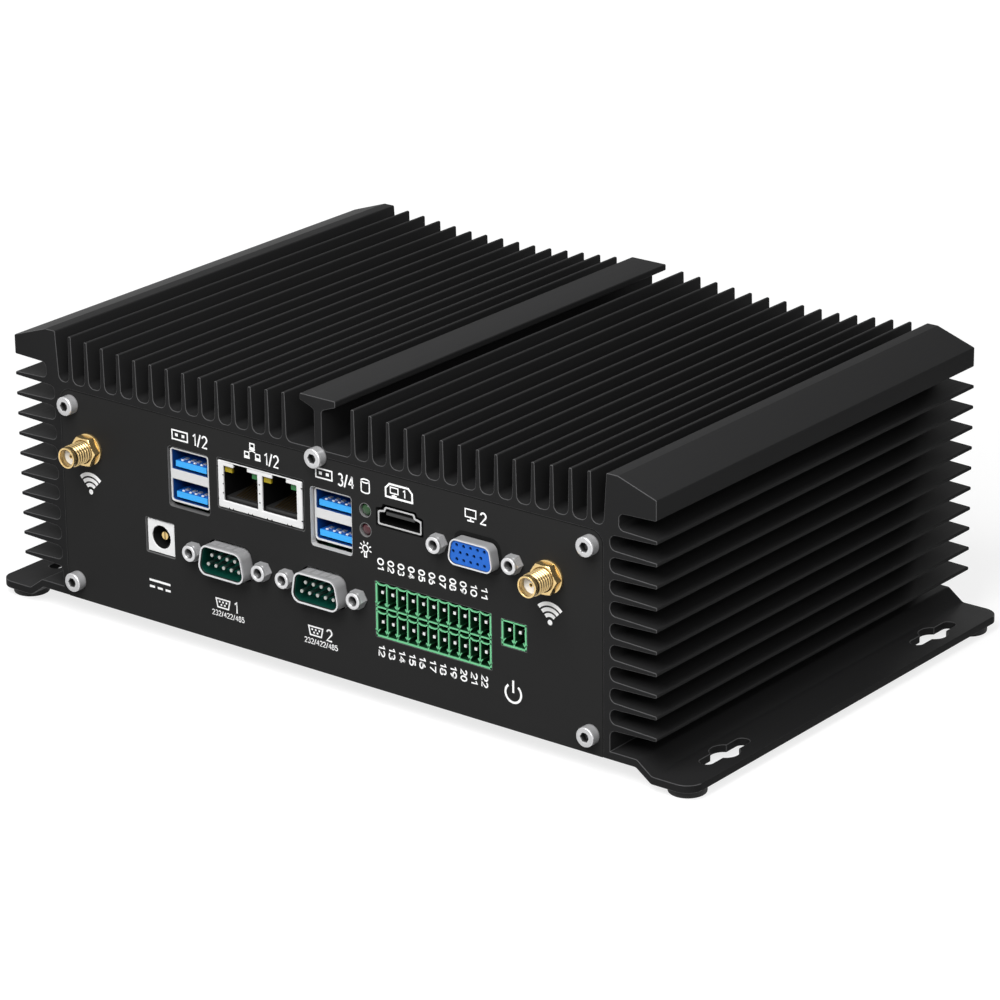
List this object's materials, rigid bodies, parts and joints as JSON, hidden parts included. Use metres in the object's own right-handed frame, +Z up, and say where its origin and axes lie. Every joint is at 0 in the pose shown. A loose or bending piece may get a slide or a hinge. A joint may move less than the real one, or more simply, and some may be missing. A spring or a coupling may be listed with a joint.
{
  "type": "fanless industrial computer",
  "caption": "Fanless industrial computer: finned black aluminium case with keyhole flanges, and a front panel of data, network, video, serial, antenna and terminal connectors.",
  "frame": {"origin": "centre of the bounding box at the undersides of the rubber feet", "axes": "+Z up, -Y out of the connector panel, +X to the right when the connector panel is looked at"},
  "size_m": [0.245, 0.1616, 0.0851],
  "materials": {
    "anodised_black": "black anodised, satin",
    "panel_black": "black powder coat, fine matt",
    "screw_steel": "bright zinc plate",
    "plated_shell": "bright nickel plate",
    "gold_plate": "gold plate, bright",
    "gold_contact": "gold plate",
    "white_insulator": "white, matt",
    "rubber_black": "black, matt",
    "port_blue": "blue, satin",
    "video_blue": "blue, satin",
    "insert_black": "black, satin",
    "serial_green": "dark green, satin",
    "jack_white": "light grey, satin",
    "amber_window": "amber, clear",
    "green_window": "green, clear",
    "lamp_green": "dark green lens, unlit",
    "lamp_red": "dark red lens, unlit",
    "terminal_green": "green, satin",
    "board_green": "green solder mask",
    "chip_black": "black moulding",
    "pad_grey": "grey, soft",
    "brass_plain": "nickel plated brass",
    "cell_steel": "brushed",
    "lead_black": "black sleeve",
    "can_silver": "bright can"
  },
  "bodies": {
    "root": {"antenna_bodies": "gold_plate", "antenna_contacts": "gold_contact", "antenna_insulators": "white_insulator", "antenna_leads": "lead_black", "antenna_nuts": "gold_plate", "antenna_washers": "gold_plate", "board_screws": "screw_steel", "bottom_cover": "panel_black", "bottom_cover_screws": "screw_steel", "capacitors": "can_silver", "card_screws": "brass_plain", "card_sockets": "insert_black", "coin_cell": "cell_steel", "coin_cell_holder": "insert_black", "data_port_a_core": "port_blue", "data_port_a_shell": "plated_shell", "data_port_b_core": "port_blue", "data_port_b_shell": "plated_shell", "data_port_contacts": "plated_shell", "digital_port_shell": "plated_shell", "digital_port_tongue": "insert_black", "front_panel": "panel_black", "front_panel_screws": "screw_steel", "heatsink_housing": "anodised_black", "io_board": "board_green", "jackscrews": "screw_steel", "lower_standoffs": "brass_plain", "main_board": "board_green", "memory_module": "board_green", "memory_socket": "insert_black", "network_amber_lights": "amber_window", "network_green_lights": "green_window", "network_port_contacts": "gold_contact", "network_port_inserts": "insert_black", "network_port_shell": "plated_shell", "power_coils": "chip_black", "power_jack_body": "jack_white", "power_jack_pin": "gold_contact", "processor": "chip_black", "rear_panel": "panel_black", "rear_panel_screws": "screw_steel", "rubber_feet": "rubber_black", "serial_port_insulators": "serial_green", "serial_port_pins": "plated_shell", "serial_port_shells": "plated_shell", "small_header_body": "terminal_green", "small_header_pins": "plated_shell", "stacking_plug": "insert_black", "stacking_socket": "insert_black", "status_light_holder": "insert_black", "status_light_lower": "lamp_red", "status_light_upper": "lamp_green", "storage_card": "board_green", "terminal_header_body": "terminal_green", "terminal_header_pins": "plated_shell", "thermal_pad": "pad_grey", "upper_standoffs": "brass_plain", "video_port_insulator": "video_blue", "video_port_shell": "plated_shell", "wireless_card": "board_green"}
  },
  "joints": []
}
